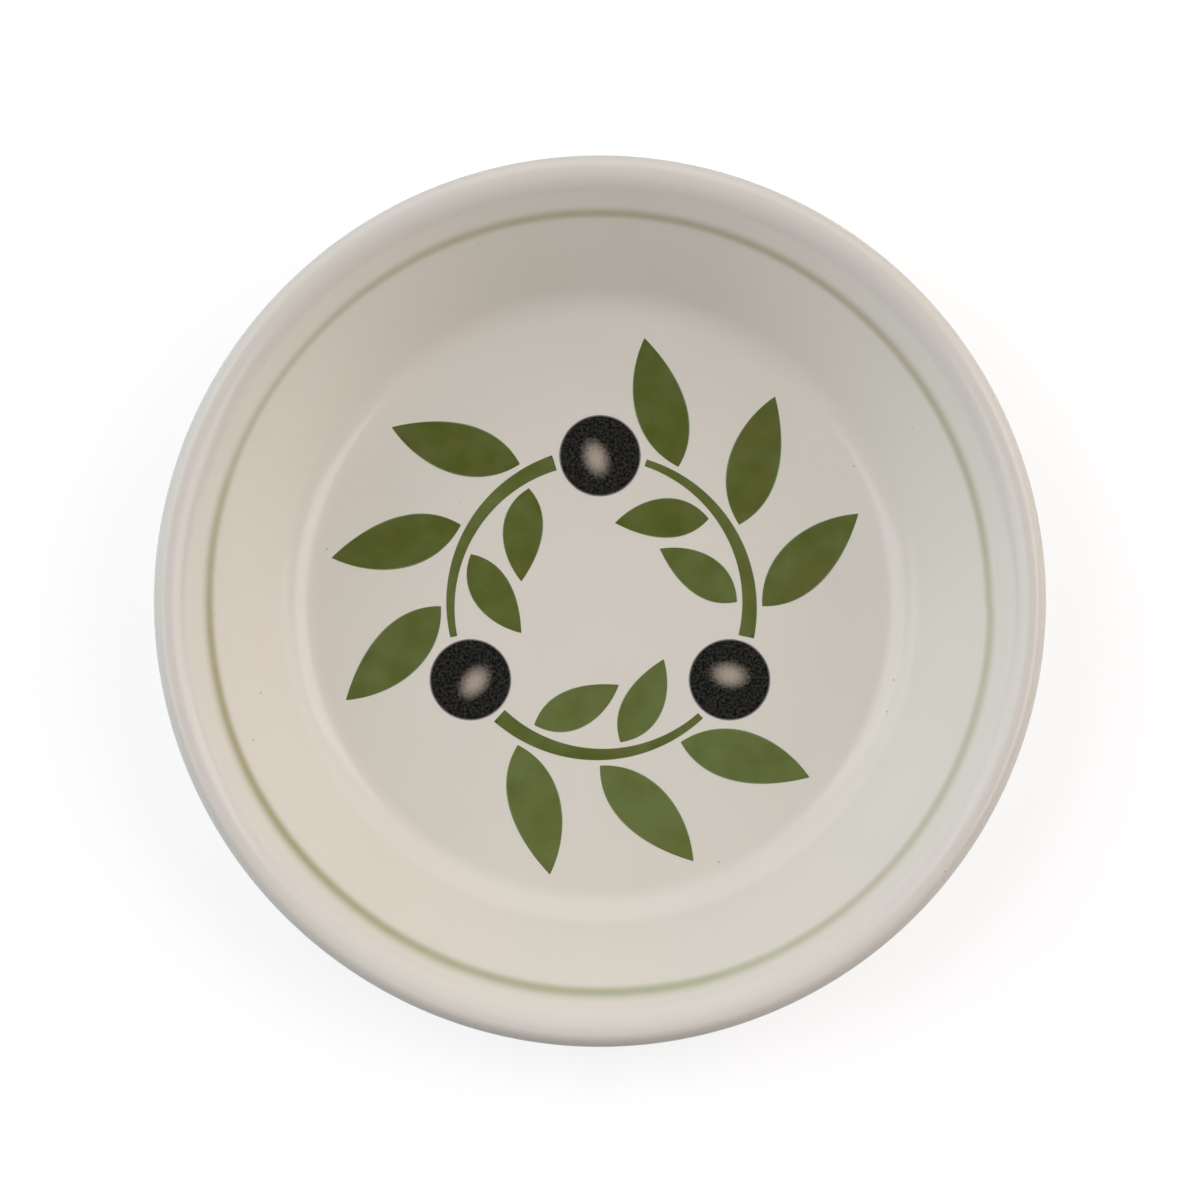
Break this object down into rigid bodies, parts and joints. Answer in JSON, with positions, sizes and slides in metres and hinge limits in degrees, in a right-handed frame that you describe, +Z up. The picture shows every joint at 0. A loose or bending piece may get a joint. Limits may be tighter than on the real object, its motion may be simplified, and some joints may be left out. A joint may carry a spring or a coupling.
{
  "type": "oil dipping dish",
  "caption": "Round shallow glazed dish for dipping oil: flat well, sloping wall, rounded lip and bare foot ring, with a green line inside the rim and a leaf wreath printed on the well.",
  "frame": {"origin": "centre of the foot ring's underside, on the surface that the dish stands on", "axes": "+Z up along the axis that the dish is turned about; -Y towards the picture's lower edge"},
  "size_m": [0.1, 0.1, 0.02],
  "materials": {
    "clay": "bare fired clay, matt",
    "glaze": "clear gloss over off-white",
    "line_green": "fired colour, gloss",
    "leaf_green": "fired colour, gloss",
    "berry_black": "fired colour, gloss"
  },
  "bodies": {
    "root": {"dish_body": "clay", "glaze_coat": "glaze", "base_glaze": "glaze", "rim_line": "line_green", "stem_1": "leaf_green", "stem_2": "leaf_green", "stem_3": "leaf_green", "outer_leaf_1": "leaf_green", "outer_leaf_2": "leaf_green", "outer_leaf_3": "leaf_green", "outer_leaf_4": "leaf_green", "outer_leaf_5": "leaf_green", "outer_leaf_6": "leaf_green", "outer_leaf_7": "leaf_green", "outer_leaf_8": "leaf_green", "outer_leaf_9": "leaf_green", "inner_leaf_1": "leaf_green", "inner_leaf_2": "leaf_green", "inner_leaf_3": "leaf_green", "inner_leaf_4": "leaf_green", "inner_leaf_5": "leaf_green", "inner_leaf_6": "leaf_green", "berry_1": "berry_black", "berry_2": "berry_black", "berry_3": "berry_black"}
  },
  "joints": []
}
